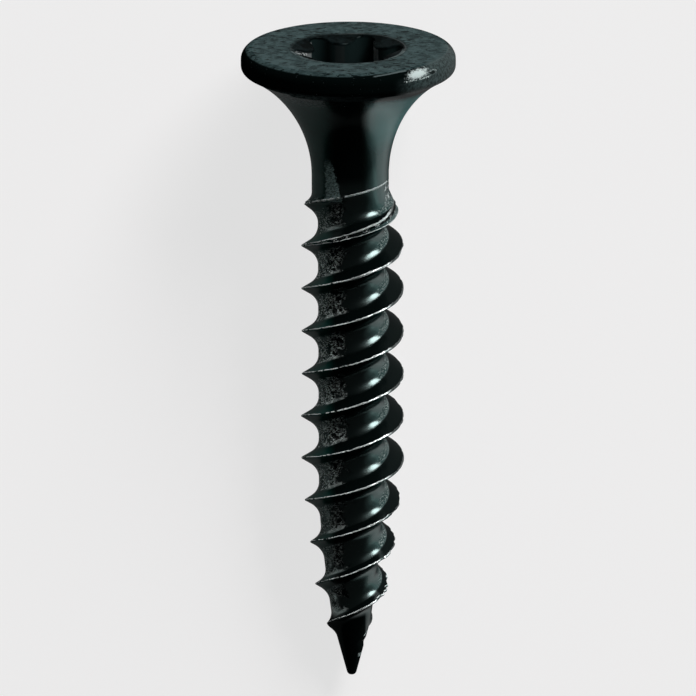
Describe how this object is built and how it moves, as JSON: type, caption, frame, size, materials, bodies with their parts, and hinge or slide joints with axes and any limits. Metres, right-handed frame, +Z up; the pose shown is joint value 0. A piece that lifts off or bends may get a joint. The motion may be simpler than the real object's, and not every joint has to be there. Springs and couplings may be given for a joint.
{
  "type": "drywall screw",
  "caption": "Black drywall screw lying on its side: flat bugle head with a six-lobe recess, plain neck, coarse twin-start thread drawn to a sharp point.",
  "frame": {"origin": "middle of the footprint, on the surface that the screw lies on", "axes": "+Y runs along the screw from the point towards the head, +X is across it, +Z is up; the screw's own axis drops 7.5 degrees towards the point"},
  "size_m": [0.0082, 0.0252, 0.0081],
  "materials": {
    "black_phosphate_steel": "oiled black phosphate on hardened steel, glossy, with bare nicks on the crests and scuffs on the head"
  },
  "bodies": {
    "root": {"drywall_screw": "black_phosphate_steel"}
  },
  "joints": []
}
